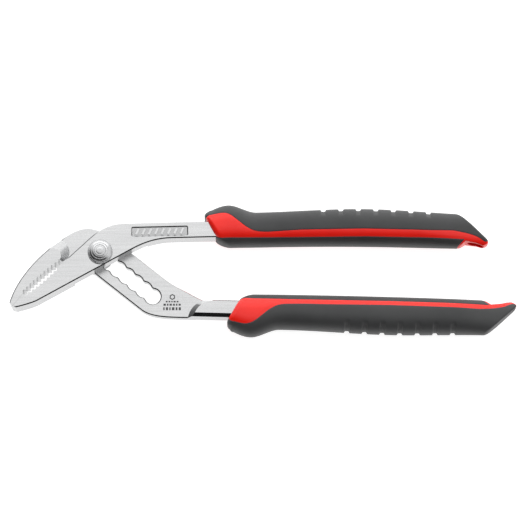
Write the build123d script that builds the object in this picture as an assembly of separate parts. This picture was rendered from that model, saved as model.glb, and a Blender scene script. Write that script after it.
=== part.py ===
from build123d import *

import math
import os

# Tongue and groove pliers, 250 mm class, lying flat with the jaws closed.
#
# Row frame, millimetres: the pivot axis is the Z axis and Z = 0 is the plane the pliers lie on.
# +X runs from the pivot to the grips, and +Y towards the front lever's grip.
# The slotted lever carries the upper jaw and the lower grip.  The front lever laps over it and
# carries the lower jaw and the upper grip.  A double-D pin, keyed in the front lever, seats in one
# of the scallops of the slot, and slides to the next one when the handles stand wide open.

# ---- driving dimensions -------------------------------------------------------------------
# pivot stack, from the resting plane up
PIN_HEAD_T = 1.8            # flat rear head of the pin
PIN_HEAD_R = 5.6
PIN_HEAD_BEVEL = 0.4
WASHER_T = 0.6
WASHER_R = 5.4
FACE_GAP = 0.05             # running gap between faces that slide on each other
PLATE_T = 4.5               # slotted plate
LAP_T = 7.0                 # front lever where it laps over the plate
JAW_T = 10.0                # both jaws
BAR_T = 8.8                 # bare steel between the plate and the grips

# slot and pin
SLOT_ANGLE = -38.8          # direction in which the pin moves to open the jaws
SLOT_STEPS = 6              # seven seats
SLOT_PITCH = 5.6
SEAT_R = 4.0                # scallop that a seat is made of
SLOT_NECK = 6.6             # clear width between opposite cusps
PIN_CLEARANCE = 0.05
PIN_ACROSS_FLATS = 6.4
OPEN_ANGLE = 60.0           # handles this wide: the pin's flats line up with the slot
STUD_R = 3.0
STUD_LENGTH = 2.0
DOME_R = 6.2
DOME_H = 3.0
DOME_RIM_H = 0.8
DOME_SEAT_GAP = 0.02
DOME_CROWN = 0.29           # shares of the dome's radius: flat crown, turned rings
DOME_RINGS = (0.46, 0.66)
RING_GROOVE_R = 0.16

# jaws, measured along the bite from its tip (t) and square to it (m, + towards the upper jaw)
BITE_ANGLE = 42.3
BITE_LENGTH = 35.7
BITE_ROOT = (-16.9, -3.9)
TIP_LENGTH = 7.8            # smooth stretch at the tips that closes fully
TIP_RISE = 1.2
CLOSED_GAP = 0.06
TEETH = 11
TEETH_START = 8.4
TEETH_END = 34.2
TOOTH_DEPTH = 1.1
LOWER_TEETH_M = 0.3         # crests of the lower jaw's teeth, before their sag
UPPER_TEETH_M = (1.5, 1.3)  # the upper jaw's, at the first and last tooth
LOWER_SAG = 0.8
UPPER_SAG = 0.6
JAW_DEPTH = 10.0            # depth of the upper jaw at its root
JAW_BACK = ((34.0, 1.0), (27.8, 0.99), (16.5, 0.855), (7.1, 0.58), (0.4, 0.24))   # t, share of the depth
BITE_BACK = 42.0            # t at which the jaw's back runs into the head

# levers
PLATE_LEFT = 9.0            # slot axis to the plate's jaw-side edge
PLATE_RIGHT = 10.7          # slot axis to the plate's handle-side edge
PLATE_LEFT_RUN = (4.2, 33.6)    # straight stretch of each edge, along the slot
PLATE_RIGHT_RUN = (11.0, 32.5)
HEAD_CURVE = ((6.5, 9.4), (-1.4, 13.1), (-6.7, 14.2), (-13.5, 12.4))
ROOT_SWEEP = (6.6, -4.4)        # from the bite's root to the curve round the slot's front end
THROAT_CURVE = ((50.5, -22.7), (44.4, -19.4))
FRONT_BACK_CURVE = ((-8.8, 3.85), (-1.3, 10.5), (5.7, 13.9), (14.8, 14.9))
FRONT_THROAT_CURVE = ((36.0, 7.25), (24.6, 5.4), (15.2, 1.1))
FRONT_CHIN_CURVE = ((-30.5, -24.8), (-35.5, -26.8), (-41.3, -28.4))
BAR_RUN = (-20.0, -8.0)         # s at which the slotted bar's outer and inner edges turn straight
JAW_BOSS = (((-22.0, 2.2), 6.8), ((-23.4, -1.9), 3.9))      # nose centre and radius, foot and top
BAR_BOSS = (((55.0, -34.0), 12.0), ((56.0, -34.0), 9.2))
JAW_STEP_T = 30.0               # the slotted lever's jaw is full depth below this t
BAR_STEP_X = 48.0               # and its bar beyond this x
JAW_STEP_R = 19.5           # the front lever's jaw is full depth outside this radius
BAR_STEP_R = 24.0
EDGE_BEVEL = 0.5
BACK_BEVEL = 1.0            # slope of the steps on the back faces, run per rise

# name panel
PANEL_SIZE = (28.5, 5.2)
PANEL_AT = (29.6, 10.75)
PANEL_TILT = 1.4
PANEL_DEPTH = 0.6
PANEL_BARS = 8
PANEL_CORNER = 0.9
PANEL_SLOPE = 0.5           # run of the pocket's sloping walls
PANEL_MARGIN = 3.0
PANEL_BAR_SIZE = (1.0, 3.2)
PANEL_BAR_LEAN = -25.0
PANEL_BAR_T = 0.36

# grips: s runs from the grip's front to its end, n from the inner edge outwards
GRIP_LENGTH = 142.0
GRIP_THICKNESS = 16.5
GRIP_DEPTH = 18.75          # inner to outer edge at the belly
NECK_DEPTH = 17.2           # behind the thumb guard
GUARD_DEPTH = 21.3          # over the thumb guard
HEEL_DEPTH = 17.4
FRONT_DEPTH = 13.7          # where the guard's curve starts, ahead of the grip's own front
TIP_HALF_T = 4.8
PAD_T = 2.2                 # soft overmould on the hard core
INNER_PAD_HIGH = 3.1        # n of the inner pad's edge, where the bare stripe of hard core begins
SECTION_POWER = 2.5         # superellipse exponent of the grip's section
SECTION_POINTS = 16
RIBS = 7
RIB_PITCH = 8.77
RIB_START = 59.05
RIB_WIDTH = 2.4
RIB_DEPTH = 0.85
RIB_REACH = 11.0            # n at which the ribs' grooves run out
HANG_HOLE = (8.2, 5.0)      # length along the grip, width
HANG_WALL = 2.7
# front corner, turn, outward side; form: the inner edge's bow and level, and extra length; then the
# outer pad's lower edge along the grip, and the points that it follows round the thumb guard
UPPER_GRIP = ((52.3, 4.5), -0.3, 1, (1.35, -0.8, 0.1), 6.5,
              ((-3, 13.0), (4, 14.5), (10.3, 15.2), (14.5, 12.4), (20.0, 8.2), (26.5, 5.35), (33.0, 5.3)))
LOWER_GRIP = ((64.3, -20.9), -1.5, -1, (-0.6, -0.25, 1.6), 4.8,
              ((-3, 13.3), (4, 14.9), (10.3, 15.6), (14.5, 13.2), (20.0, 8.4), (26.5, 5.4), (33.0, 5.1)))

# tangs inside the grips
TANG_END = 118.0
TANG_T = 7.0
TANG_FRONT = (4.6, 11.0)    # lower and upper edge of the tang, as n, at its front
TANG_BACK = (5.9, 11.2)     # and at its end
TANG_FIT = 0.1
BAR_IN_GRIP = 9.0           # how far the full bar reaches into the grip
BAR_LOW = 3.4               # edges of the bar, as n at the grip's front
BAR_HIGH = 11.8
BAR_BEVEL = 1.7             # wide bevel along the slotted bar's outer front edge

# ---- levels worked out from them ------------------------------------------------------------
Z_WASHER = PIN_HEAD_T + FACE_GAP
Z_BACK = Z_WASHER + WASHER_T + FACE_GAP
Z_LAP = Z_BACK + PLATE_T
Z_OVER = Z_LAP + FACE_GAP
Z_FRONT = Z_OVER + LAP_T
Z_JAW = Z_FRONT - JAW_T
Z_MID = GRIP_THICKNESS / 2
Z_SLOT_BAR = (Z_MID - BAR_T / 2 - 0.4, Z_MID + BAR_T / 2 - 0.4)
Z_FRONT_BAR = (Z_FRONT - BAR_T, Z_FRONT)
SEAT_FIT_R = SEAT_R - PIN_CLEARANCE
SLOT_TRAVEL = SLOT_STEPS * SLOT_PITCH
FAR = 400.0


def unit(angle):
    """Unit vector at an angle in degrees, in the XY plane."""
    return Vector(math.cos(math.radians(angle)), math.sin(math.radians(angle)))


BITE = unit(BITE_ANGLE)
BITE_UP = unit(BITE_ANGLE + 90)
BITE_TIP = Vector(*BITE_ROOT) - BITE * BITE_LENGTH
SLOT = unit(SLOT_ANGLE)
SLOT_LEFT = unit(SLOT_ANGLE - 90)     # towards the plate's jaw-side edge


def jaw(t, m):
    """Point at t along the bite and m square to it."""
    return BITE_TIP + BITE * t + BITE_UP * m


def along_slot(distance, left):
    """Point at a distance along the slot from the pivot, and left of its axis."""
    return SLOT * distance + SLOT_LEFT * left


def prism(face, low, high):
    """Solid of a face in the XY plane, between two heights."""
    return Pos(0, 0, low) * extrude(face, amount=high - low)


def region(edges):
    """Face inside a closed chain of edges."""
    return make_face(Curve() + edges)


def upright(radius, height):
    """Cylinder standing on the XY plane."""
    return Cylinder(radius, height, align=(Align.CENTER, Align.CENTER, Align.MIN))


def double_d(radius, across, angle, low, high):
    """Round bar with two flats, which run along the given angle."""
    section = Circle(radius) & Rectangle(4 * radius, across)
    return prism(Rot(0, 0, angle) * section, low, high)


# ---- grip frame -----------------------------------------------------------------------------
def smooth(t):
    t = min(max(t, 0.0), 1.0)
    return t * t * (3 - 2 * t)


def through(stations, s):
    """Value at s on a smooth curve with its highs and lows at the stations."""
    for (s0, v0), (s1, v1) in zip(stations, stations[1:]):
        if s <= s1:
            return v0 + (v1 - v0) * smooth((s - s0) / (s1 - s0))
    return stations[-1][1]


GUARD_S = 0.08 * GRIP_LENGTH
GUARD_START_S = -0.075 * GRIP_LENGTH
NECK_S = 0.18 * GRIP_LENGTH
BELLY_S = 0.56 * GRIP_LENGTH
HEEL_S = 0.895 * GRIP_LENGTH


def depth(s):
    """Inner to outer edge of the grip at s."""
    return through([(GUARD_START_S, FRONT_DEPTH), (GUARD_S, GUARD_DEPTH), (NECK_S, NECK_DEPTH),
                    (BELLY_S, GRIP_DEPTH), (HEEL_S, HEEL_DEPTH), (GRIP_LENGTH + 5, HEEL_DEPTH)], s)


def half_thickness(s):
    """Half of the grip's thickness at s."""
    half = GRIP_THICKNESS / 2
    return through([(-5, half - 0.6), (GUARD_S, half), (0.75 * GRIP_LENGTH, half),
                    (GRIP_LENGTH + 5, TIP_HALF_T - 0.4)], s)


def inner_edge(s, form):
    """n of the grip's inner edge, which the bow lifts in the middle."""
    bow, level, _ = form
    return bow * math.sin(math.pi * min(max(s / GRIP_LENGTH, 0.0), 1.0)) + level


def in_place(shape, grip):
    """Moves a solid from the grip's own frame, where n is +Y, to its handle."""
    (x, y), turn, side, *_ = grip
    if side < 0:
        shape = mirror(shape, about=Plane.XZ)
    return Pos(x, y, Z_MID) * Rot(0, 0, turn) * shape


def grip_point(s, n, grip):
    """Row-frame point of (s, n) on a grip's handle."""
    (x, y), turn, side, *_ = grip
    return Vector(x, y) + unit(turn) * s + unit(turn + 90) * (n * side)


# ---- outlines of the levers -----------------------------------------------------------------
def tooth_row(first, last, sag, depth_sign):
    """Zigzag of teeth from first to last, each (t, m); the crests follow a curve sagging by sag."""
    points = []
    for i in range(2 * TEETH + 1):
        share = i / (2 * TEETH)
        t = first[0] + (last[0] - first[0]) * share
        crest = first[1] + (last[1] - first[1]) * share + depth_sign * sag * math.sin(math.pi * share)
        root = depth_sign * TOOTH_DEPTH if i % 2 else 0.0
        points.append(jaw(t, crest + root))
    return points


def polyline(points):
    return [Line(a, b) for a, b in zip(points, points[1:])]


def slotted_outline():
    """Upper jaw, plate and bare bar of the slotted lever, seen along Z."""
    half_gap = CLOSED_GAP / 2
    teeth = tooth_row((TEETH_START, UPPER_TEETH_M[0]), (TEETH_END, UPPER_TEETH_M[1]), UPPER_SAG, 1)
    root = jaw(BITE_LENGTH, UPPER_TEETH_M[1])
    bite = [jaw(0, half_gap), jaw(TIP_LENGTH, TIP_RISE + half_gap), *teeth, root]
    plate_left = [along_slot(distance, PLATE_LEFT) for distance in PLATE_LEFT_RUN]
    low_start = grip_point(BAR_RUN[0], BAR_HIGH, LOWER_GRIP)
    low_end = grip_point(BAR_IN_GRIP, BAR_HIGH, LOWER_GRIP)
    high_end = grip_point(BAR_IN_GRIP, BAR_LOW, LOWER_GRIP)
    high_start = grip_point(BAR_RUN[1], BAR_LOW, LOWER_GRIP)
    plate_right = [along_slot(distance, -PLATE_RIGHT) for distance in reversed(PLATE_RIGHT_RUN)]
    root_top = jaw(BITE_BACK, JAW_DEPTH + 1.0)
    head = [plate_right[1], *[Vector(*point) for point in HEAD_CURVE], root_top]
    back = [root_top, *[jaw(t, share * JAW_DEPTH) for t, share in JAW_BACK]]
    return region([
        *polyline(bite),
        Spline(root, root + Vector(*ROOT_SWEEP), plate_left[0], tangents=[-BITE_UP, SLOT]),
        Line(plate_left[0], plate_left[1]),
        Spline(plate_left[1], low_start, tangents=[SLOT, low_end - low_start]),
        Line(low_start, low_end),
        Line(low_end, high_end),
        Line(high_end, high_start),
        Spline(high_start, *[Vector(*point) for point in THROAT_CURVE], plate_right[0],
               tangents=[high_start - high_end, -SLOT]),
        Line(plate_right[0], plate_right[1]),
        Spline(*head),
        Spline(*back),
        Line(back[-1], bite[0]),
    ])


def front_outline():
    """Lower jaw, lap and bare bar of the front lever, seen along Z."""
    half_gap = CLOSED_GAP / 2
    teeth = tooth_row((TEETH_START, LOWER_TEETH_M), (TEETH_END, LOWER_TEETH_M), LOWER_SAG, -1)
    bite = [jaw(0, -half_gap), jaw(TIP_LENGTH, TIP_RISE - half_gap), *teeth, jaw(BITE_LENGTH, 0)]
    upper = [Vector(*point) for point in FRONT_BACK_CURVE]
    throat = [Vector(*point) for point in FRONT_THROAT_CURVE]
    chin = [Vector(*point) for point in FRONT_CHIN_CURVE]
    high_end = grip_point(BAR_IN_GRIP, BAR_HIGH, UPPER_GRIP)
    low_end = grip_point(BAR_IN_GRIP, BAR_LOW, UPPER_GRIP)
    slope = throat[-1] - chin[0]
    return region([
        *polyline(bite),
        Spline(bite[-1], *upper, tangents=[unit(BITE_ANGLE + 3.7), high_end - upper[-1]]),
        Line(upper[-1], high_end),
        Line(high_end, low_end),
        Line(low_end, throat[0]),
        Spline(*throat, tangents=[throat[0] - low_end, -slope]),
        Line(throat[-1], chin[0]),
        Spline(*chin, tangents=[-slope, unit(192)]),
        Line(chin[-1], bite[0]),
    ])


def boss(noses, low, high, heading):
    """Raised end with a sloping face: rounded noses at its foot and its top, each (centre, radius),
    widening away from the nose along the heading."""
    widen = 60.0
    side = Vector(-heading.Y, heading.X)
    faces = []
    for (centre, radius), z in zip(noses, (low, high)):
        centre = Vector(*centre)
        a, b = centre + side * radius, centre - side * radius
        far_a = a + (heading + side) * widen
        far_b = b + (heading - side) * widen
        nose = centre - heading * radius
        outline = [ThreePointArc(a, nose, b), Line(b, far_b), Line(far_b, far_a), Line(far_a, a)]
        faces.append(Pos(0, 0, z) * region(outline))
    return loft(faces, ruled=True)


def back_cut(plane_origin, heading, start, level):
    """Removes what lies below a level, ahead of start along the heading, with a sloping step."""
    rise = level - Z_BACK
    plane = Plane(origin=plane_origin, x_dir=heading, z_dir=Vector(heading.Y, -heading.X))
    foot = start - (rise + 1) * BACK_BEVEL
    points = [(start, level), (foot, Z_BACK - 1), (FAR, Z_BACK - 1), (FAR, level)]
    face = plane * make_face(Polyline(*points, close=True))
    return extrude(face, amount=FAR, both=True)


def slot_face():
    """Scalloped slot: one round seat per position, joined by a straight neck."""
    face = Pos(SLOT * (SLOT_TRAVEL / 2)) * Rot(0, 0, SLOT_ANGLE) * Rectangle(SLOT_TRAVEL, SLOT_NECK)
    for step in range(SLOT_STEPS + 1):
        face += Pos(SLOT * (step * SLOT_PITCH)) * Circle(SEAT_R)
    return face


def tang(grip, fit=0.0):
    """Narrow end of a lever inside its grip."""
    start, end = BAR_IN_GRIP - 2.0, TANG_END + fit
    points = [(start, TANG_FRONT[0] - fit), (end, TANG_BACK[0] - fit), (end, TANG_BACK[1] + fit),
              (start, TANG_FRONT[1] + fit)]
    face = make_face(Polyline(*points, close=True))
    return in_place(prism(face, -TANG_T / 2 - fit, TANG_T / 2 + fit), grip)


def bar_room(grip, levels):
    """Room that a grip leaves for the bare bar."""
    low, high = levels
    points = [(-12, BAR_LOW - 0.5), (BAR_IN_GRIP + TANG_FIT, BAR_LOW - TANG_FIT),
              (BAR_IN_GRIP + TANG_FIT, BAR_HIGH + TANG_FIT), (-12, BAR_HIGH + 0.5)]
    face = make_face(Polyline(*points, close=True))
    return in_place(prism(face, low - Z_MID - TANG_FIT, high - Z_MID + TANG_FIT), grip)


# ---- levers ---------------------------------------------------------------------------------
def on_bite(edge):
    """True for the short edges of the bite, from the tips to the jaws' root."""
    d = edge.center() - BITE_TIP
    return abs(d.dot(BITE_UP)) < 4.0 and -1 < d.dot(BITE) < BITE_LENGTH + 0.1 and edge.length < 9


def bevelled(solid, *levels):
    """Breaks the edges of the flat faces at the given heights, apart from the bite's."""
    for level in levels:
        at_level = [e for e in solid.edges() if abs(e.center().Z - level) < 1e-4]
        flat = [e for e in at_level if e.bounding_box().size.Z < 1e-4]
        solid = chamfer([e for e in flat if not on_bite(e)], EDGE_BEVEL)
    return solid


def outer_bevel():
    """What the wide bevel takes off the slotted bar's outer front edge."""
    top, size = Z_SLOT_BAR[1] - Z_MID, BAR_BEVEL
    points = [(BAR_HIGH - size, top), (BAR_HIGH - size, top + 1), (BAR_HIGH + 1, top + 1),
              (BAR_HIGH + 1, top - size - 1), (BAR_HIGH, top - size)]
    start = -30.0
    across = Plane(origin=(start, 0, 0), x_dir=(0, 1, 0), z_dir=(1, 0, 0))
    face = across * make_face(Polyline(*points, close=True))
    return in_place(extrude(face, amount=BAR_IN_GRIP + 1 - start), LOWER_GRIP)


def slotted_lever():
    outline = slotted_outline()
    buried = Z_LAP - 2 * EDGE_BEVEL
    plate = bevelled(prism(outline - slot_face(), Z_BACK, Z_LAP), Z_BACK, Z_LAP)
    jaw_block = bevelled(prism(outline, buried, Z_FRONT), Z_FRONT)
    upper_jaw = jaw_block & boss(JAW_BOSS, buried, Z_FRONT, -BITE)
    bar_top = Z_SLOT_BAR[1]
    bar_block = bevelled(prism(outline, buried, bar_top), bar_top)
    bar = (bar_block & boss(BAR_BOSS, buried, bar_top, Vector(1, 0))) - outer_bevel()
    body = plate + upper_jaw + bar
    body -= back_cut(BITE_TIP, -BITE, -JAW_STEP_T, Z_JAW)
    body -= back_cut(Vector(0, 0), Vector(1, 0), BAR_STEP_X, Z_SLOT_BAR[0])
    return body + tang(LOWER_GRIP)


def name_panel():
    """Pocket in the front face, and the slanted bars that fill it."""
    place = Pos(*PANEL_AT, Z_FRONT) * Rot(0, 0, PANEL_TILT)
    floor = PANEL_SIZE[0] - 2 * PANEL_SLOPE, PANEL_SIZE[1] - 2 * PANEL_SLOPE
    pocket = loft([RectangleRounded(*PANEL_SIZE, PANEL_CORNER),
                   Pos(0, 0, -PANEL_DEPTH) * RectangleRounded(*floor, PANEL_CORNER - PANEL_SLOPE)])
    pitch = (PANEL_SIZE[0] - PANEL_MARGIN) / PANEL_BARS
    bars = []
    for i in range(PANEL_BARS):
        at = (i - (PANEL_BARS - 1) / 2) * pitch
        bar = Pos(at, 0) * Rot(0, 0, PANEL_BAR_LEAN) * Rectangle(*PANEL_BAR_SIZE)
        bars.append(place * Pos(0, 0, -PANEL_DEPTH) * extrude(bar, amount=PANEL_BAR_T))
    return place * pocket, bars


def front_lever():
    outline = front_outline()
    body = bevelled(prism(outline, Z_OVER, Z_FRONT), Z_FRONT)
    left = Pos(-FAR / 2, 0) * Rectangle(FAR, FAR) - Circle(JAW_STEP_R)
    right = Pos(FAR / 2, 0) * Rectangle(FAR, FAR) - Circle(BAR_STEP_R)
    body += prism(outline & left, Z_JAW, Z_OVER)
    body += prism(outline & right, Z_FRONT_BAR[0], Z_OVER)
    radius, across = SEAT_FIT_R + PIN_CLEARANCE, PIN_ACROSS_FLATS + 2 * PIN_CLEARANCE
    body -= double_d(radius, across, pin_angle(), Z_OVER - 1, Z_FRONT + 1)
    pocket, bars = name_panel()
    return body - pocket + bars + tang(UPPER_GRIP)


# ---- pivot ----------------------------------------------------------------------------------
def pin_angle():
    """Angle of the pin's flats at rest: they reach the slot's direction at the open angle."""
    return SLOT_ANGLE - OPEN_ANGLE


def pivot_pin():
    """Flat rear head, double-D shank through both levers, and the stud for the dome nut."""
    head = upright(PIN_HEAD_R, PIN_HEAD_T)
    head = chamfer(head.edges().sort_by(Axis.Z)[-1], PIN_HEAD_BEVEL)
    shank = double_d(SEAT_FIT_R, PIN_ACROSS_FLATS, pin_angle(), PIN_HEAD_T, Z_FRONT)
    stud = Pos(0, 0, Z_FRONT) * upright(STUD_R, STUD_LENGTH)
    return head + shank + stud


def dome_nut():
    """Round cap on the pin's stud, with two turned rings and a flat crown."""
    crown_r = DOME_CROWN * DOME_R
    profile = region([
        Line((0, 0), (DOME_R - 0.2, 0)),
        Line((DOME_R - 0.2, 0), (DOME_R, 0.2)),
        Line((DOME_R, 0.2), (DOME_R, DOME_RIM_H)),
        Spline((DOME_R, DOME_RIM_H), (0.72 * DOME_R, 0.8 * DOME_H), (crown_r, DOME_H - 0.1),
               tangents=[(-0.25, 1), (-1, 0.12)]),
        Line((crown_r, DOME_H - 0.1), (crown_r - 0.15, DOME_H)),
        Line((crown_r - 0.15, DOME_H), (0, DOME_H)),
        Line((0, DOME_H), (0, 0)),
    ])
    dome = revolve(Plane.XZ * profile, axis=Axis.Z)
    for share in DOME_RINGS:
        ring_z = DOME_H * (1.0 - 0.32 * share ** 2)
        dome -= Pos(0, 0, ring_z) * Torus(share * DOME_R, RING_GROOVE_R)
    dome -= upright(STUD_R + FACE_GAP, STUD_LENGTH + FACE_GAP)
    return Pos(0, 0, Z_FRONT + DOME_SEAT_GAP) * dome


def spring_washer():
    """Flat spring washer between the pin's rear head and the slotted plate."""
    ring = Circle(WASHER_R) - Circle(SEAT_R + PIN_CLEARANCE)
    return prism(ring, Z_WASHER, Z_WASHER + WASHER_T)


# ---- grips ----------------------------------------------------------------------------------
def section(s, form, inset):
    """Superellipse section of the grip at s, drawn in by an inset."""
    half_depth = depth(s) / 2 - inset
    half_t = half_thickness(s) - inset
    middle = inner_edge(s, form) + depth(s) / 2
    points = []
    for i in range(SECTION_POINTS):
        angle = 2 * math.pi * (i + 0.5) / SECTION_POINTS
        c, z = math.cos(angle), math.sin(angle)
        power = 2 / SECTION_POWER
        points.append((middle + half_depth * math.copysign(abs(c) ** power, c),
                       half_t * math.copysign(abs(z) ** power, z)))
    across = Plane(origin=(s, 0, 0), x_dir=(0, 1, 0), z_dir=(1, 0, 0))
    return across * make_face(Spline(*points, periodic=True))


def grip_loft(form, inset=0.0):
    shares = (0.04, 0.08, 0.12, 0.165, 0.21, 0.32, 0.44, 0.56, 0.67, 0.78, 0.895, 0.955)
    stations = [-4, *(share * GRIP_LENGTH for share in shares), GRIP_LENGTH + 3]
    return loft([section(s, form, inset) for s in stations])


def side_view(form, inset=0.0):
    """Side outline that the loft is trimmed to: slanted front, sloping end with a rounded tip."""
    length, i = GRIP_LENGTH + form[2], inset
    end_low = inner_edge(length, form)
    chin = [(12.0 + i, -3), (11.0 + i, -0.4), (9.2 + i, 0.4), (7.5 + i, 1.2), (6.0 + i, 2.3)]
    front = [(5.3 + i, 3.3), (-0.35 + i, 13.9), (-0.1 + i, 15.1), (1.2 + i, 16.6), (1.2 + i, GUARD_DEPTH + 6)]
    heel = [(HEEL_S - 4, GUARD_DEPTH + 6), (HEEL_S - 4, HEEL_DEPTH + 0.6 - i),
            (HEEL_S + 0.5, HEEL_DEPTH - 1.1 - i)]
    tip = [(length - 2.2 - i, end_low + 5.2), (length - i, end_low + 3.2),
           (length - 0.7 - i, end_low + 1.5), (length - 2.4 - i, end_low + 0.5)]
    under = [(length - 4.4 - i, end_low + 0.8), (HEEL_S + 3.2, end_low + 2.8 + i),
             (HEEL_S + 1.2, end_low + 1.0), (HEEL_S - 1.0, end_low - 0.6), (HEEL_S - 2.0, -3)]
    outline = make_face(Polyline(*chin, *front, *heel, *tip, *under, close=True))
    return prism(outline, -GRIP_THICKNESS, GRIP_THICKNESS)


def outer_zone(form, low, guard):
    """Side region that the soft outer pad covers: its edge follows the guard's points, then low."""
    bow, end_level, reach = form
    length, end = GRIP_LENGTH + reach, end_level + low - 6.5
    long = [(BELLY_S, low + 0.6 * bow), (HEEL_S - 14, low), (HEEL_S - 3, low + 0.2)]
    tip = [(HEEL_S + 4.0, end + 6.6), (length - 6.6, end + 5.2), (length - 2.5, end + 2.4), (length + 2, end - 2.6)]
    edge = Spline(*guard, *long, *tip)
    top = GUARD_DEPTH + 8
    a, b = edge @ 1, edge @ 0
    face = region([edge, Line(a, (a.X, top)), Line((a.X, top), (b.X, top)), Line((b.X, top), b)])
    return prism(face, -GRIP_THICKNESS, GRIP_THICKNESS)


def inner_zone(form):
    """Side region that the soft inner pad covers."""
    bow, high = form[0], INNER_PAD_HIGH
    edge = Spline((2.0, high - 0.5), (12, high - 0.1), (30, high), (BELLY_S, high + 0.6 * bow),
                  (HEEL_S, high), (HEEL_S + 6, high))
    a, b = edge @ 1, edge @ 0
    face = region([edge, Line(a, (a.X, -6)), Line((a.X, -6), (b.X, -6)), Line((b.X, -6), b)])
    return prism(face, -GRIP_THICKNESS, GRIP_THICKNESS)


def hang_hole(form):
    """Oblong hole through the grip's end, from its outer to its inner side."""
    length, width = HANG_HOLE
    centre = GRIP_LENGTH + form[2] - HANG_WALL - length / 2
    across = Plane(origin=(centre, 0, 0), x_dir=(1, 0, 0), z_dir=(0, 1, 0))
    return extrude(across * SlotOverall(length, width), amount=GUARD_DEPTH * 2, both=True)


def rib_cut(s, form):
    """Shallow groove across the pad's outer side at s, following its section."""
    outside = Pos(s, 0, 0) * Box(RIB_WIDTH, 4 * GUARD_DEPTH, 2 * GRIP_THICKNESS)
    outside -= extrude(section(s, form, RIB_DEPTH), amount=RIB_WIDTH, both=True)
    above = Pos(s, RIB_REACH + GUARD_DEPTH, 0) * Box(3 * RIB_WIDTH, 2 * GUARD_DEPTH, 3 * GRIP_THICKNESS)
    return outside & above


def grip(which, levels):
    """Hard core, outer pad and inner pad of one grip, in place on its handle."""
    form, pad_low, pad_edge = which[3:]
    whole = (grip_loft(form) & side_view(form)) - hang_hole(form)
    kernel = grip_loft(form, PAD_T) & side_view(form, PAD_T)
    outer = (whole & outer_zone(form, pad_low, pad_edge)) - kernel
    inner = (whole & inner_zone(form)) - kernel
    core = whole - outer - inner
    for i in range(RIBS):
        outer -= rib_cut(RIB_START + i * RIB_PITCH, form)
    room = tang(which, TANG_FIT) + bar_room(which, levels)
    core = in_place(core, which) - room
    return core, in_place(outer, which), in_place(inner, which)


# ---- writing --------------------------------------------------------------------------------
def save(shape, name):
    solids = sorted(shape.solids(), key=lambda s: -s.volume)
    print(name, len(solids), [round(s.volume, 1) for s in solids])
    export_step(solids[0] if len(solids) == 1 else Compound(children=solids), f"parts/{name}.step")


def main():
    os.makedirs("parts", exist_ok=True)
    save(slotted_lever(), "slotted_lever")
    save(front_lever(), "front_lever")
    save(pivot_pin(), "pivot_pin")
    save(dome_nut(), "dome_nut")
    save(spring_washer(), "spring_washer")
    for prefix, which, levels in (("upper", UPPER_GRIP, Z_FRONT_BAR), ("lower", LOWER_GRIP, Z_SLOT_BAR)):
        core, outer, inner = grip(which, levels)
        save(core, f"{prefix}_grip_core")
        save(outer, f"{prefix}_outer_pad")
        save(inner, f"{prefix}_inner_pad")


main()
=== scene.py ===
"""Looks for the tongue and groove pliers: moulded two-part grips, turned dome nut, printed mark,
and materials for the steel levers.  Metres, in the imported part's own frame."""

import math

import bmesh
import bpy
import numpy as np
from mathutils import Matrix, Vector

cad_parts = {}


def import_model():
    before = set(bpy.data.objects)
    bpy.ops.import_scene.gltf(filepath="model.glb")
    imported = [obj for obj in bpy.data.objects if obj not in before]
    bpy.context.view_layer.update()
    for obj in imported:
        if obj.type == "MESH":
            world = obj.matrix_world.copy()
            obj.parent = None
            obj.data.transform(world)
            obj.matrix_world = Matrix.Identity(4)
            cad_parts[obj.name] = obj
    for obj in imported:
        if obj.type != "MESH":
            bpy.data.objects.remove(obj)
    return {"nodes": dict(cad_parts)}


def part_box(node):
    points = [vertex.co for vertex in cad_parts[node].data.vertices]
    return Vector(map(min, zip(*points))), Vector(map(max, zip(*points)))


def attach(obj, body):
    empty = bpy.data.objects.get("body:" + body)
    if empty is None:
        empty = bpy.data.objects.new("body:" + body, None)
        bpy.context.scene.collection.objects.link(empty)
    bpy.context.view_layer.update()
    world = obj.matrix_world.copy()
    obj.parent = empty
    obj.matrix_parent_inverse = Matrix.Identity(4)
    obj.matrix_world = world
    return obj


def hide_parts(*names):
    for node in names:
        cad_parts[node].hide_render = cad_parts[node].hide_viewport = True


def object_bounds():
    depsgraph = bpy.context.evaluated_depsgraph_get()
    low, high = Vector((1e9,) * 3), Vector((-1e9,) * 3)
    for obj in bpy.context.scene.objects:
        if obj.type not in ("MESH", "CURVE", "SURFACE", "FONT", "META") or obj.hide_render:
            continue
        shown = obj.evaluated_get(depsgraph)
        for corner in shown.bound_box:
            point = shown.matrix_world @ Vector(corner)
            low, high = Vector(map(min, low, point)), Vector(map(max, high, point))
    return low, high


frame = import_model()
cad_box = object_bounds()
MM = 0.001

# ---- grip dimensions, in millimetres, the same as the solids' ------------------------------------
LENGTH = 142.0
THICKNESS = 16.5
TIP_HALF_T = 4.4
SECTION_POWER = 2.5
FRONT_DEPTH, GUARD_DEPTH, NECK_DEPTH, BELLY_DEPTH, HEEL_DEPTH = 13.7, 21.3, 17.2, 18.75, 17.4
FRONT_S, GUARD_S, NECK_S = -0.075 * LENGTH, 0.08 * LENGTH, 0.18 * LENGTH
BELLY_S, HEEL_S = 0.56 * LENGTH, 0.895 * LENGTH
INNER_PAD_HIGH = 3.1
RIB_START, RIB_PITCH, RIBS = 59.05, 8.77, 7
RIB_HALF, RIB_DEPTH = 1.35, 0.95
HOLE_LENGTH, HOLE_WIDTH, HOLE_WALL = 8.2, 5.0, 2.7
CORE_INSET = 0.16           # the hard core stands this far below the soft pads
CORE_SINK = 1.1             # and further below them where they cover it
PAD_WALL, STRIP_WALL = 1.1, 1.0
PAD_HOLE_MARGIN = 0.14      # the hanging hole is this much narrower in the pad than in the core
FRONT_CENTRE, END_CENTRE = 8.3, 5.5   # n that the rounded rims of the two ends turn towards
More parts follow.
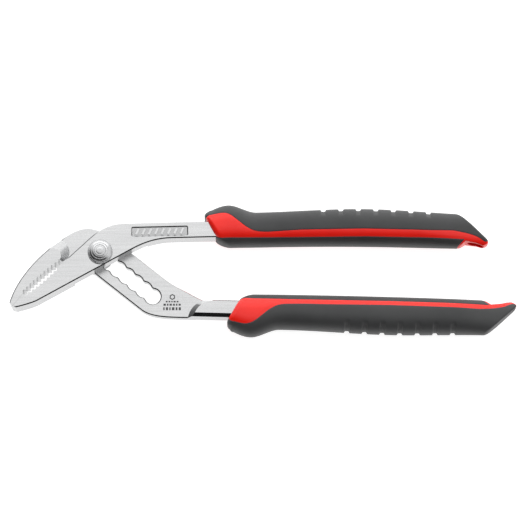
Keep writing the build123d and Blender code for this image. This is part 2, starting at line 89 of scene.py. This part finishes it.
LIP = 0.75                  # width of the rounded edge round each pad
WARP_FRONT, WARP_END = 22.0, 112.0
MIDDLE_Z = THICKNESS / 2
# at: front corner; turn in degrees; side: which way is outwards; form: the inner edge's bow and level,
# and extra length; body: what it rides; edge: s and n along the outer pad's lower edge
EDGE_S = [-3, 4, 8, 10.6, 13, 16.5, 20, 23.5, 26.5, 31, 40, 48, BELLY_S, HEEL_S - 14, HEEL_S - 3, HEEL_S + 4]
GRIPS = {
    "upper": {"at": (52.3, 4.5), "turn": -0.3, "side": 1, "form": (1.35, -0.8, 0.1), "body": "front",
              "edge": (EDGE_S + [LENGTH - 6.6, LENGTH - 4.2, LENGTH - 2.4, LENGTH + 1],
                       [13.0, 14.5, 15.2, 15.2, 14.0, 11.1, 8.2, 6.05, 5.35, 5.15, 5.8, 6.4, 7.15, 6.5, 6.8,
                        5.6, 4.4, 3.1, 1.6, 1.2])},
    "lower": {"at": (64.3, -20.9), "turn": -1.5, "side": -1, "form": (-0.6, -0.25, 1.6), "body": "slotted",
              "edge": (EDGE_S + [LENGTH - 5.0, LENGTH - 2.8, LENGTH - 1.0, LENGTH + 2],
                       [13.3, 14.9, 15.9, 15.5, 14.4, 11.5, 8.4, 6.2, 5.4, 5.15, 4.9, 4.9, 4.45, 4.75, 4.95,
                        4.3, 3.0, 1.7, 0.8, 0.6])},
}


# ---- mesh helpers --------------------------------------------------------------------------------
def new_object(name, vertices, faces):
    mesh = bpy.data.meshes.new(name)
    mesh.from_pydata([tuple(v) for v in vertices], [], [tuple(f) for f in faces])
    mesh.validate()
    made = bpy.data.objects.new(name, mesh)
    bpy.context.scene.collection.objects.link(made)
    return made


def tidy(obj, merge=1e-6, grip=None):
    """Joins coincident vertices, drops empty faces and turns every normal outwards, which on a grip's
    open sheet means away from the grip's middle, and forwards on its front end."""
    bm = bmesh.new()
    bm.from_mesh(obj.data)
    bmesh.ops.remove_doubles(bm, verts=bm.verts, dist=merge)
    bmesh.ops.dissolve_degenerate(bm, edges=bm.edges, dist=merge / 2)
    bmesh.ops.recalc_face_normals(bm, faces=bm.faces)
    if grip is not None:
        middle, along = axis_point(grip)
        facing = sum(f.calc_area() * f.normal.dot(f.calc_center_median() - middle) for f in bm.faces)
        if facing < 0:
            bmesh.ops.reverse_faces(bm, faces=bm.faces)
        front = (8.0 - LENGTH / 2) * MM
        wrong = [f for f in bm.faces if f.normal.dot(along) > 0.6
                 and (f.calc_center_median() - middle).dot(along) < front]
        if wrong:
            bmesh.ops.reverse_faces(bm, faces=wrong)
    bm.to_mesh(obj.data)
    bm.free()
    obj.data.shade_smooth()


def grid_object(name, points, closed):
    """Object from a grid of points [row, column, xyz]; closed joins the last column to the first."""
    rows, columns = points.shape[:2]
    index = np.arange(rows * columns).reshape(rows, columns)
    right = np.roll(index, -1, axis=1)
    if not closed:
        index, right = index[:, :-1], right[:, :-1]
    faces = np.stack([index[:-1], right[:-1], right[1:], index[1:]], axis=-1).reshape(-1, 4)
    return new_object(name, points.reshape(-1, 3), faces)


def apply(obj, kind, **settings):
    """Adds a modifier, sets it and applies it."""
    modifier = obj.modifiers.new(kind.lower(), kind)
    for key, value in settings.items():
        setattr(modifier, key, value)
    bpy.context.view_layer.objects.active = obj
    bpy.ops.object.modifier_apply(modifier=modifier.name)


def cut(obj, cutter):
    apply(obj, "BOOLEAN", operation="DIFFERENCE", solver="MANIFOLD", object=cutter)
    bpy.data.objects.remove(cutter)


# ---- grip shape: s along the grip, n from its inner to its outer edge ------------------------------
def smooth(t):
    t = np.clip(t, 0.0, 1.0)
    return t * t * (3 - 2 * t)


def through(stations, s):
    """Smooth curve with its highs and lows at the stations."""
    value = np.full_like(s, stations[0][1])
    for (s0, v0), (s1, v1) in zip(stations, stations[1:]):
        value = np.where(s > s0, v0 + (v1 - v0) * smooth((s - s0) / (s1 - s0)), value)
    return value


def soft_max(a, b, blend):
    """The larger of a and b, rounded where they cross."""
    h = np.clip(0.5 + 0.5 * (a - b) / blend, 0, 1)
    return b + (a - b) * h + blend * h * (1 - h)


def inner_edge(s, grip):
    bow, level, _ = grip["form"]
    return bow * np.sin(np.pi * np.clip(s / LENGTH, 0, 1)) + level


def size_at(s, grip):
    """Middle, half depth and half thickness of the section at s."""
    depth = through([(FRONT_S, FRONT_DEPTH), (GUARD_S, GUARD_DEPTH), (NECK_S, NECK_DEPTH),
                     (BELLY_S, BELLY_DEPTH), (HEEL_S, HEEL_DEPTH), (LENGTH + 5, HEEL_DEPTH)], s)
    half = THICKNESS / 2
    half_t = through([(-5, half - 0.6), (GUARD_S, half), (0.75 * LENGTH, half), (LENGTH + 5, TIP_HALF_T)], s)
    return inner_edge(s, grip) + depth / 2, depth / 2, half_t


def under_tip(s):
    """n that the grip's underside rises to behind its inner pad."""
    heel = 0.895 * LENGTH
    return np.interp(s, [heel - 3, heel + 1.2, heel + 3.2, LENGTH - 6, LENGTH - 3, LENGTH],
                     [-3.0, 0.6, 2.2, 1.2, 0.0, -0.2])


def section(s, phi, grip, inset):
    """(n, z) on the section at s; phi 0 is the outer edge, and inset is measured inwards."""
    middle, half_depth, half_t = size_at(s, grip)
    c, z = np.cos(phi), np.sin(phi)
    power = 2 / SECTION_POWER
    n = middle + (half_depth - inset) * np.sign(c) * np.abs(c) ** power
    n = soft_max(n, under_tip(s) + inset, 0.5)
    return n, (half_t - inset) * np.sign(z) * np.abs(z) ** power


def front_s(n):
    """s of the slanted front end, curving back at both corners."""
    inner, outer = np.maximum(0, 3.3 - n), np.clip(n - 13.6, 0, 3.4)
    return 5.2 - 0.52 * (n - 3.3) + 0.22 * inner ** 2 + 0.2 * outer ** 2


def end_s(n):
    """s of the slanted rear end, rounded at its tip."""
    slope = LENGTH - 2.4 - 1.08 * (n - 4.8)
    return -soft_max(-slope, np.full_like(slope, -LENGTH + 0.1), 1.8) - 0.3 * np.maximum(0, 2.9 - n) ** 2


def outer_boundary(s, grip):
    """n of the outer pad's lower edge."""
    return np.interp(s, *grip["edge"])


def inner_boundary(s, grip):
    """n of the inner pad's upper edge."""
    high = INNER_PAD_HIGH
    rise = 0.6 * grip["form"][0]
    return np.interp(s, [2, 12, 30, BELLY_S, HEEL_S + 8], [high - 0.6, high - 0.1, high, high + rise, high])


def smoothed(curve, grip):
    """A boundary sampled along the grip with its corners rounded."""
    at = np.arange(-12, LENGTH + 12, 0.25)
    values = curve(at, grip)
    kernel = np.hanning(23)
    values = np.convolve(np.pad(values, 11, mode="edge"), kernel / kernel.sum(), mode="valid")
    return lambda s: np.interp(s, at, values)


def rib_inset(s, n, grip):
    """Depth of the finger grooves: rounded troughs that run out down the flanks."""
    groove = np.zeros_like(s)
    for i in range(RIBS):
        across = np.abs(s - (RIB_START + i * RIB_PITCH)) / RIB_HALF
        groove = np.maximum(groove, smooth((1.12 - across) / 0.55))
    middle, half_depth, _ = size_at(s, grip)
    up = (n - middle) / half_depth
    return RIB_DEPTH * groove * smooth((up - 0.42) / 0.45)


def place(s, n, z, grip):
    """Grid of row-frame points, in metres, from grip coordinates in millimetres."""
    turn = math.radians(grip["turn"])
    n = n * grip["side"]
    x = grip["at"][0] + s * math.cos(turn) - n * math.sin(turn)
    y = grip["at"][1] + s * math.sin(turn) + n * math.cos(turn)
    return np.stack([x, y, z + MIDDLE_Z], axis=-1) * MM


def axis_point(grip):
    """Point in the middle of the grip, and the direction along it."""
    turn = math.radians(grip["turn"])
    middle = Vector(place(np.array(LENGTH / 2), np.array(BELLY_DEPTH / 2), np.array(0.0), grip))
    return middle, Vector((math.cos(turn), math.sin(turn), 0.0))


def rows_along(fine=0.3):
    """Nominal stations from the front to the end."""
    return np.linspace(0, 1, int(LENGTH / fine))


def sweep(name, grip, columns, phi_at, inset_at, start_at, end_at, round_front, round_end, closed,
          close_at):
    """Skin of a grip piece: long rows, rounded rims and flat ends that close towards the centre.

    phi_at(s) gives each column's angle, inset_at(s, n) its depth below the full section, and
    close_at(s) the n towards which the ends close.  Every piece's rims turn towards the same centre."""
    nominal, reach = rows_along()[:, None] * LENGTH, grip["form"][2]
    span = columns.shape[1]

    def surface(s):
        phi = phi_at(s, columns)
        n, _ = section(s, phi, grip, 0.0)
        return section(s, phi, grip, inset_at(s, n))

    def ends(s_nominal):
        s = np.broadcast_to(s_nominal, (len(s_nominal), span)).copy()
        for _ in range(6):
            n, _ = surface(s)
            first, last = start_at(n) + round_front, end_at(n) + reach - round_end
            front_part = first + (WARP_FRONT - first) * s_nominal / WARP_FRONT
            end_part = WARP_END + (last - WARP_END) * (s_nominal - WARP_END) / (LENGTH - WARP_END)
            s = np.where(s_nominal > WARP_END, end_part, s_nominal)
            s = np.where(s_nominal < WARP_FRONT, front_part, s)
        return s

    s = ends(nominal)
    n, z = surface(s)
    body = np.stack([s, n, z], axis=-1)

    def rim(edge_row, radius, sign, stop_at):
        """Quarter round from the last row, then rings that close the flat end."""
        made = []
        s0, n0, z0 = edge_row[:, 0], edge_row[:, 1], edge_row[:, 2]
        centre = FRONT_CENTRE if sign < 0 else END_CENTRE
        to_centre = np.stack([centre - n0, -z0], axis=-1)
        length = np.linalg.norm(to_centre, axis=1, keepdims=True)
        to_centre = to_centre / np.maximum(length, 1e-6)
        for alpha in np.linspace(0, math.pi / 2, 8)[1:]:
            inward = np.minimum(radius * (1 - math.cos(alpha)), 0.95 * length[:, 0])
            n1, z1 = n0 + to_centre[:, 0] * inward, z0 + to_centre[:, 1] * inward
            flat = stop_at(n1)
            made.append(np.stack([flat - sign * radius * (1 - math.sin(alpha)), n1, z1], axis=-1))
        last = made[-1]
        centre = close_at(last[:, 0])
        for share in np.linspace(1, 0, 10)[1:]:
            n1 = centre + (last[:, 1] - centre) * share
            made.append(np.stack([stop_at(n1), n1, last[:, 2] * share], axis=-1))
        return np.array(made)

    front = rim(body[0], round_front, -1, start_at)[::-1]
    end = rim(body[-1], round_end, 1, lambda n: end_at(n) + reach)
    grid = np.concatenate([front, body, end])
    points = place(grid[..., 0], grid[..., 1], grid[..., 2], grip)
    return grid_object(name, points, closed)


def core(name, grip):
    """Hard core, seen in the stripe, at the front end and round the tip."""
    upper, lower = smoothed(outer_boundary, grip), smoothed(inner_boundary, grip)
    columns = (np.linspace(0, 2 * math.pi, 241)[:-1])[None, :]
    middle = GUARD_DEPTH / 2 - 2

    def inset(s, n):
        under = np.maximum(n - upper(s), np.where(s < HEEL_S - 2, lower(s) - n, -1))
        return CORE_INSET + CORE_SINK * smooth((under - 0.35) / 0.9)

    made = sweep(name, grip, columns, lambda s, v: v + 0 * s, inset,
                 lambda n: front_s(n) + 0.35 * smooth((n - 12.8) / 1.2) + 0.35 * smooth((2.4 - n) / 1.0),
                 lambda n: end_s(n) - 0.8 * smooth((n - 2.0) / 1.8), 3.0, 1.3, True,
                 lambda s: np.where(s < LENGTH / 2, middle, END_CENTRE))
    tidy(made)
    return made


def edge_roll(share_from_edge):
    """Inset of a pad near its rim, so that its edge is rounded down onto the core."""
    t = np.clip(1 - share_from_edge / LIP, 0, 1)
    return 0.62 * (1 - np.sqrt(np.clip(1 - t * t, 0, 1)))


def outer_pad(name, grip):
    """Soft pad over the outer side, with the thumb guard and finger grooves."""
    boundary = smoothed(outer_boundary, grip)
    w = np.linspace(-1, 1, 131)
    columns = (np.sign(w) * (1 - (1 - np.abs(w)) ** 1.5))[None, :]

    def edge_angle(s):
        middle, half_depth, _ = size_at(s, grip)
        level = np.clip((boundary(s) - middle) / half_depth, -0.98, 0.98)
        return np.arccos(np.sign(level) * np.abs(level) ** (SECTION_POWER / 2))

    def inset(s, n):
        return edge_roll(np.abs(n - boundary(s))) + rib_inset(s, n, grip)

    made = sweep(name, grip, columns, lambda s, v: v * edge_angle(s), inset, front_s,
                 end_s, 3.0, 1.4, False,
                 lambda s: np.where(s < LENGTH / 2, boundary(s), END_CENTRE))
    tidy(made, grip=grip)
    return made


def inner_pad(name, grip):
    """Soft strip along the inner side, rounded at both ends."""
    boundary = smoothed(inner_boundary, grip)
    w = np.linspace(-1, 1, 81)
    columns = (np.sign(w) * (1 - (1 - np.abs(w)) ** 1.5))[None, :]
    heel, reach = 0.895 * LENGTH, grip["form"][2]

    def edge_angle(s):
        middle, half_depth, _ = size_at(s, grip)
        level = np.clip((middle - boundary(s)) / half_depth, -0.98, 0.98)
        return np.arccos(np.sign(level) * np.abs(level) ** (SECTION_POWER / 2))

    made = sweep(name, grip, columns, lambda s, v: math.pi + v * edge_angle(s),
                 lambda s, n: edge_roll(np.abs(n - boundary(s))),
                 front_s, lambda n: heel + 0.6 - reach + 1.0 * n, 3.0, 2.0, False,
                 lambda s: boundary(s))
    tidy(made, grip=grip)
    return made


def hole_cutter(name, grip, shrink):
    """Oblong hanging hole through the tip, across the grip."""
    length, width = HOLE_LENGTH - 2 * shrink, HOLE_WIDTH - 2 * shrink
    centre = LENGTH + grip["form"][2] - HOLE_WALL - HOLE_LENGTH / 2
    half = (length - width) / 2
    angles = np.linspace(0, 2 * math.pi, 65)[:-1]
    s = centre + np.sign(np.cos(angles)) * half + width / 2 * np.cos(angles)
    z = width / 2 * np.sin(angles)
    rows = [np.stack([s, np.full_like(s, n), z], axis=-1) for n in (-6.0, 22.0)]
    grid = np.array(rows)
    made = grid_object(name, place(grid[..., 0], grid[..., 1], grid[..., 2], grip), True)
    bm = bmesh.new()
    bm.from_mesh(made.data)
    bmesh.ops.holes_fill(bm, edges=bm.edges)
    bmesh.ops.recalc_face_normals(bm, faces=bm.faces)
    bm.to_mesh(made.data)
    bm.free()
    return made


def sharp_by_angle(obj, degrees=38):
    bpy.context.view_layer.objects.active = obj
    obj.select_set(True)
    bpy.ops.object.shade_smooth_by_angle(angle=math.radians(degrees))
    obj.select_set(False)


def build_grip(side, materials):
    grip = GRIPS[side]
    hard = core(f"{side}_hard_core", grip)
    cut(hard, hole_cutter("hole", grip, 0.0))
    soft = outer_pad(f"{side}_soft_back", grip)
    apply(soft, "SOLIDIFY", thickness=PAD_WALL * MM, offset=-1.0, use_even_offset=False)
    cut(soft, hole_cutter("hole", grip, PAD_HOLE_MARGIN))
    strip = inner_pad(f"{side}_soft_strip", grip)
    apply(strip, "SOLIDIFY", thickness=STRIP_WALL * MM, offset=-1.0, use_even_offset=False)
    for piece, node, slot, material in (
            (hard, f"{side}_grip_core", "hard_red", materials["red"]),
            (soft, f"{side}_outer_pad", "soft_black", materials["rubber"]),
            (strip, f"{side}_inner_pad", "soft_black", materials["rubber"])):
        sharp_by_angle(piece)
        piece.data.materials.clear()
        piece.data.materials.append(material)
        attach(piece, grip["body"])
        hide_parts(node)


# ---- dome nut and printed mark -------------------------------------------------------------------
PLATE_TOP = 7.0             # z of the slotted plate's front face, in millimetres
INK_LIFT, INK_THICKNESS = 0.000005, 0.000012


def turned(name, profile, segments, centre):
    """Revolves (radius, height) points about a vertical axis through the centre."""
    angles = np.linspace(0, 2 * math.pi, segments + 1)[:-1]
    radius = np.array([p[0] for p in profile])[:, None]
    height = np.array([p[1] for p in profile])[:, None]
    x, y = radius * np.cos(angles), radius * np.sin(angles)
    points = np.stack([x + centre[0], y + centre[1], height + 0 * x + centre[2]], axis=-1)
    made = grid_object(name, points, True)
    tidy(made, 1e-7)
    return made


def dome_profile(radius, height):
    """Dome with a thin foot, turned grooves and a flat raised crown."""
    crown, rim = 0.29, 0.27
    points = [(0.0, 0.0), (0.965, 0.0), (1.0, 0.035), (1.0, rim - 0.03), (0.992, rim)]
    for share in np.linspace(0.985, crown, 90):
        fall = ((share - crown) / (1 - crown)) ** 2.1
        level = 0.965 - (0.965 - rim) * fall
        for ring, deep in ((0.47, 0.045), (0.66, 0.045), (0.86, 0.04), (0.955, 0.08)):
            level -= deep * math.exp(-(((share - ring) / 0.016) ** 2))
        points.append((share, level))
    points += [(crown - 0.012, 0.985), (crown - 0.03, 1.0), (0.06, 1.0), (0.0, 0.99)]
    return [(r * radius, z * height) for r, z in points]


def dome(material):
    low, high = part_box("dome_nut")
    centre = ((low.x + high.x) / 2, (low.y + high.y) / 2, low.z)
    made = turned("pivot_dome", dome_profile((high.x - low.x) / 2, high.z - low.z), 160, centre)
    sharp_by_angle(made, 50)
    made.data.materials.append(material)
    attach(made, "front")
    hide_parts("dome_nut")


def ink_patch(bm, corners, level, thickness):
    """Thin printed patch with the given outline."""
    low = [bm.verts.new((x, y, level)) for x, y in corners]
    high = [bm.verts.new((x, y, level + thickness)) for x, y in corners]
    bm.faces.new(high)
    bm.faces.new(low[::-1])
    for i in range(len(corners)):
        j = (i + 1) % len(corners)
        bm.faces.new((low[i], low[j], high[j], high[i]))


def printed_mark(material):
    """Plain hexagon ring over three rows of dashes on the slotted plate, in place of any lettering."""
    level = PLATE_TOP * MM + INK_LIFT
    bm = bmesh.new()
    centre, outer, inner = Vector((36.0, -21.4)), 1.55, 0.95
    for i in range(6):
        a, b = math.radians(60 * i + 30), math.radians(60 * i + 90)
        ring = [(outer, a), (outer, b), (inner, b), (inner, a)]
        corners = [((centre.x + r * math.cos(t)) * MM, (centre.y + r * math.sin(t)) * MM) for r, t in ring]
        ink_patch(bm, corners, level, INK_THICKNESS)
    dashes = {-24.2: (0.8, (0.9, 0.9, 0.7, 1.1, 0.9), 0.45),
              -25.9: (1.05, (1.2, 0.8, 1.2, 1.0, 0.8, 1.1), 0.5),
              -28.2: (1.5, (0.7, 1.1, 0.7, 1.3, 0.9, 1.1), 0.6)}
    for y, (height, widths, gap) in dashes.items():
        x = 35.9 - (sum(widths) + gap * (len(widths) - 1)) / 2
        for width in widths:
            corners = [(x, y), (x + width, y), (x + width, y + height), (x, y + height)]
            ink_patch(bm, [(px * MM, py * MM) for px, py in corners], level, INK_THICKNESS)
            x += width + gap
    mesh = bpy.data.meshes.new("printed_mark")
    bmesh.ops.recalc_face_normals(bm, faces=bm.faces)
    bm.to_mesh(mesh)
    bm.free()
    made = bpy.data.objects.new("printed_mark", mesh)
    bpy.context.scene.collection.objects.link(made)
    made.data.materials.append(material)
    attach(made, "slotted")


# ---- materials -----------------------------------------------------------------------------------
POCKET_FLOOR = 0.01345            # height of the name panel's floor


class Shader:
    """A Principled material, and short ways to hang noise on its sockets."""

    def __init__(self, name, **sockets):
        self.material = bpy.data.materials.new(name)
        self.material.use_nodes = True
        self.nodes, self.links = self.material.node_tree.nodes, self.material.node_tree.links
        self.principled = self.nodes["Principled BSDF"]
        for key, value in sockets.items():
            self.principled.inputs[key.replace("_", " ")].default_value = value
        self.coordinates = self.nodes.new("ShaderNodeTexCoord").outputs["Object"]

    def noise(self, scale, stretch=(1, 1, 1), turn=0.0, detail=3.0, roughness=0.55):
        mapping = self.nodes.new("ShaderNodeMapping")
        mapping.inputs["Scale"].default_value = stretch
        mapping.inputs["Rotation"].default_value = (0, 0, math.radians(turn))
        self.links.new(self.coordinates, mapping.inputs["Vector"])
        noise = self.nodes.new("ShaderNodeTexNoise")
        noise.inputs["Scale"].default_value = scale
        noise.inputs["Detail"].default_value = detail
        noise.inputs["Roughness"].default_value = roughness
        self.links.new(mapping.outputs["Vector"], noise.inputs["Vector"])
        return noise.outputs["Fac"]

    def ramp(self, source, low, high, start=0.3, end=0.7):
        """Colours or grey levels between two ends of a noise."""
        ramp = self.nodes.new("ShaderNodeValToRGB")
        ramp.color_ramp.elements[0].position, ramp.color_ramp.elements[1].position = start, end
        for element, value in zip(ramp.color_ramp.elements, (low, high)):
            element.color = (*value, 1) if isinstance(value, tuple) else (value, value, value, 1)
        self.links.new(source, ramp.inputs["Fac"])
        return ramp.outputs["Color"]

    def range(self, source, low, high):
        node = self.nodes.new("ShaderNodeMapRange")
        node.inputs["To Min"].default_value, node.inputs["To Max"].default_value = low, high
        self.links.new(source, node.inputs["Value"])
        return node.outputs["Result"]

    def mix(self, share, first, second):
        node = self.nodes.new("ShaderNodeMix")
        node.data_type = "RGBA"
        if isinstance(share, float):
            node.inputs["Factor"].default_value = share
        else:
            self.links.new(share, node.inputs["Factor"])
        self.links.new(first, node.inputs["A"])
        self.links.new(second, node.inputs["B"])
        return node.outputs["Result"]

    def step(self, source, start, end):
        """0 below start and 1 above end, or the reverse when end is the smaller."""
        node = self.nodes.new("ShaderNodeMapRange")
        node.interpolation_type = "SMOOTHSTEP"
        low, high = min(start, end), max(start, end)
        node.inputs["From Min"].default_value, node.inputs["From Max"].default_value = low, high
        if end < start:
            node.inputs["To Min"].default_value, node.inputs["To Max"].default_value = 1.0, 0.0
        self.links.new(source, node.inputs["Value"])
        return node.outputs["Result"]

    def math(self, kind, first, second):
        node = self.nodes.new("ShaderNodeMath")
        node.operation = kind
        self.links.new(first, node.inputs[0])
        self.links.new(second, node.inputs[1])
        return node.outputs["Value"]

    def level(self, height):
        """1 on what lies within a tenth of a millimetre of the height, and 0 elsewhere."""
        split = self.nodes.new("ShaderNodeSeparateXYZ")
        self.links.new(self.coordinates, split.inputs["Vector"])
        z = split.outputs["Z"]
        above = self.step(z, height - 0.00015, height - 0.00010)
        return self.math("MULTIPLY", above, self.step(z, height + 0.00015, height + 0.00010))

    def shaded_bevels(self):
        """Mask for painted shade: 1 on the sloping faces that turn away from the jaws' bite, and 0 on the
        flats.
        """
        normal = self.nodes.new("ShaderNodeTexCoord").outputs["Normal"]
        split = self.nodes.new("ShaderNodeSeparateXYZ")
        self.links.new(normal, split.inputs["Vector"])
        along = self.nodes.new("ShaderNodeVectorMath")
        along.operation = "DOT_PRODUCT"
        along.inputs[1].default_value = (0.74, 0.67, 0.0)
        self.links.new(normal, along.inputs[0])
        rise = split.outputs["Z"]
        sloping = self.math("MULTIPLY", self.step(rise, 0.35, 0.5), self.step(rise, 0.95, 0.8))
        return self.math("MULTIPLY", sloping, self.step(along.outputs["Value"], 0.12, 0.02))

    def into(self, source, socket):
        self.links.new(source, self.principled.inputs[socket])

    def bump(self, *layers):
        """Stacks bumps, each (height source, strength, distance in metres)."""
        normal = None
        for source, strength, distance in layers:
            node = self.nodes.new("ShaderNodeBump")
            node.inputs["Strength"].default_value = strength
            node.inputs["Distance"].default_value = distance
            self.links.new(source, node.inputs["Height"])
            if normal is not None:
                self.links.new(normal, node.inputs["Normal"])
            normal = node.outputs["Normal"]
        self.links.new(normal, self.principled.inputs["Normal"])


def lever_steel(name, grain_turn, pocket_floor=None):
    """Satin forged steel, ground bright on its flats, with painted shade on the bevel faces that turn away
    from the jaws' bite, and painted shade on the floor, at the given height, of the name panel's pocket."""
    steel = Shader(name, Metallic=1.0, Roughness=0.3)
    speckle = steel.noise(1500, detail=4, roughness=0.6)
    grain = steel.noise(1400, stretch=(0.03, 1.0, 1.0), turn=grain_turn, detail=4)
    bright = steel.mix(0.5, steel.ramp(speckle, (0.50, 0.503, 0.506), (0.60, 0.603, 0.607)),
                       steel.ramp(grain, (0.48, 0.483, 0.486), (0.62, 0.623, 0.627)))
    # painted shade: near-black colour on the bevel faces that turn away from the jaws' bite, standing in for
    # their dark reflections
    painted_bevel_shade = steel.ramp(speckle, (0.035, 0.036, 0.038), (0.075, 0.076, 0.078))
    colour = steel.mix(steel.shaded_bevels(), bright, painted_bevel_shade)
    if pocket_floor is not None:
        # painted shade: the floor of the name panel's pocket is given a darker colour for the shade in the
        # recess
        painted_pocket_shade = steel.ramp(speckle, (0.36, 0.362, 0.365), (0.45, 0.452, 0.455))
        colour = steel.mix(steel.level(pocket_floor), colour, painted_pocket_shade)
    steel.into(colour, "Base Color")
    steel.into(steel.range(grain, 0.18, 0.34), "Roughness")
    steel.bump((grain, 0.10, 0.00003), (speckle, 0.06, 0.00002))
    return steel.material


def pivot_steel():
    """Turned steel: fine rings round the pivot's axis."""
    steel = Shader("turned_steel", Metallic=1.0, Roughness=0.3)
    ring = steel.nodes.new("ShaderNodeTexWave")
    ring.wave_type, ring.rings_direction = "RINGS", "Z"
    ring.inputs["Scale"].default_value = 700
    ring.inputs["Distortion"].default_value = 0.6
    steel.links.new(steel.coordinates, ring.inputs["Vector"])
    speckle = steel.noise(1500, detail=4)
    steel.into(steel.ramp(speckle, (0.44, 0.443, 0.448), (0.50, 0.503, 0.508)), "Base Color")
    steel.into(steel.range(speckle, 0.2, 0.34), "Roughness")
    steel.bump((ring.outputs["Fac"], 0.04, 0.00002))
    return steel.material


def hard_red():
    """Moulded red plastic, semi-gloss, with a slight orange-peel."""
    red = Shader("moulded_red", Roughness=0.3, Specular_IOR_Level=0.38, Coat_Weight=0.1, Coat_Roughness=0.15)
    cloud = red.noise(60)
    fine = red.noise(2600, detail=2)
    red.into(red.ramp(cloud, (0.90, 0.009, 0.004), (0.99, 0.014, 0.006)), "Base Color")
    red.into(red.range(fine, 0.26, 0.38), "Roughness")
    red.bump((fine, 0.10, 0.00004), (cloud, 0.06, 0.0003))
    return red.material


def soft_black():
    """Matt elastomer with a fine spark-eroded grain."""
    rubber = Shader("soft_black", Roughness=0.58, Sheen_Weight=0.12, Sheen_Roughness=0.5)
    cloud = rubber.noise(45)
    grain = rubber.noise(3400, detail=3, roughness=0.7)
    rubber.into(rubber.ramp(cloud, (0.030, 0.031, 0.032), (0.044, 0.045, 0.046)), "Base Color")
    rubber.into(rubber.range(grain, 0.50, 0.68), "Roughness")
    rubber.bump((grain, 0.5, 0.00006), (cloud, 0.05, 0.0003))
    return rubber.material


def ink():
    """Grey pad print, slightly broken up."""
    print_ = Shader("grey_ink", Roughness=0.6)
    print_.into(print_.ramp(print_.noise(2500), (0.035, 0.035, 0.037), (0.10, 0.10, 0.105)), "Base Color")
    return print_.material


def repaint(node, material):
    """Gives a carried-over CAD node its procedural material."""
    obj = frame["nodes"][node]
    for slot in obj.material_slots:
        slot.material = material
    if not obj.material_slots:
        obj.data.materials.append(material)


# ---- studio --------------------------------------------------------------------------------------
SOFTBOX = (0.42, 0.80, 0.10)      # direction of the room's bright side
FRAMING = (0.00065, 0.0032, 0.0)  # from the middle of the tool to the middle of the picture
WORLD_FRONT, WORLD_BACK = 0.08, 1.28


def floor():
    size = 3.0
    made = new_object("floor", [(-size, -size, 0), (size, -size, 0), (size, size, 0), (-size, size, 0)],
                      [(0, 1, 2, 3)])
    made.location.z = cad_box[0][2] - 0.0002
    paper = Shader("pale_floor", Roughness=0.8, Emission_Color=(1, 1, 1, 1), Emission_Strength=0.9)
    paper.into(paper.ramp(paper.noise(6), 0.42, 0.45), "Base Color")
    made.data.materials.append(paper.material)


def area_light(name, location, target, size, power):
    light = bpy.data.lights.new(name, "AREA")
    light.shape = "RECTANGLE"
    light.size, light.size_y = size
    light.energy = power
    made = bpy.data.objects.new(name, light)
    made.location = location
    made.rotation_euler = (Vector(target) - Vector(location)).to_track_quat("-Z", "Y").to_euler()
    bpy.context.scene.collection.objects.link(made)


def world():
    """White softbox over the back right of the room, dark over its front left."""
    made = bpy.data.worlds.new("studio")
    bpy.context.scene.world = made
    made.use_nodes = True
    nodes, links = made.node_tree.nodes, made.node_tree.links
    direction = nodes.new("ShaderNodeTexCoord").outputs["Generated"]
    towards = nodes.new("ShaderNodeVectorMath")
    towards.operation = "DOT_PRODUCT"
    towards.inputs[1].default_value = SOFTBOX
    links.new(direction, towards.inputs[0])
    place_ = nodes.new("ShaderNodeMapRange")
    place_.interpolation_type = "SMOOTHSTEP"
    place_.inputs["From Min"].default_value, place_.inputs["From Max"].default_value = -0.2, 0.2
    place_.inputs["To Min"].default_value, place_.inputs["To Max"].default_value = WORLD_FRONT, WORLD_BACK
    links.new(towards.outputs["Value"], place_.inputs["Value"])
    links.new(place_.outputs["Result"], nodes["Background"].inputs["Strength"])
    nodes["Background"].inputs["Color"].default_value = (1, 1, 1, 1)


def camera():
    """Long lens, looking down at the flat-lying tool from the front, 15 degrees off the vertical."""
    lens, width = 200.0, 0.265
    data = bpy.data.cameras.new("camera")
    data.lens, data.sensor_width = lens, 36.0
    distance = width * lens / 36.0
    made = bpy.data.objects.new("camera", data)
    middle_z = MIDDLE_Z * MM
    target = Vector(((cad_box[0][0] + cad_box[1][0]) / 2, (cad_box[0][1] + cad_box[1][1]) / 2, middle_z))
    target += Vector(FRAMING)
    elevation = math.radians(75)
    made.location = target + distance * Vector((0, -math.cos(elevation), math.sin(elevation)))
    made.rotation_euler = (math.pi / 2 - elevation, 0, 0)
    data.clip_end = 20
    bpy.context.scene.collection.objects.link(made)
    bpy.context.scene.camera = made


# ---- the scene -----------------------------------------------------------------------------------
materials = {"red": hard_red(), "rubber": soft_black()}
pivot = pivot_steel()
repaint("slotted_lever", lever_steel("slotted_steel", 0.0))
repaint("front_lever", lever_steel("front_steel", 0.0, POCKET_FLOOR))
repaint("pivot_pin", pivot)
repaint("spring_washer", pivot)
for side_name in GRIPS:
    build_grip(side_name, materials)
dome(pivot)
printed_mark(ink())

bpy.context.scene.view_settings.view_transform = "Standard"
world()
floor()
area_light("overhead", (0.05, 0.75, 0.85), (0.08, 0, 0), (1.6, 0.7), 3.0)
area_light("behind", (0.08, 1.25, 0.30), (0.08, 0, 0), (2.0, 0.5), 5.0)
camera()
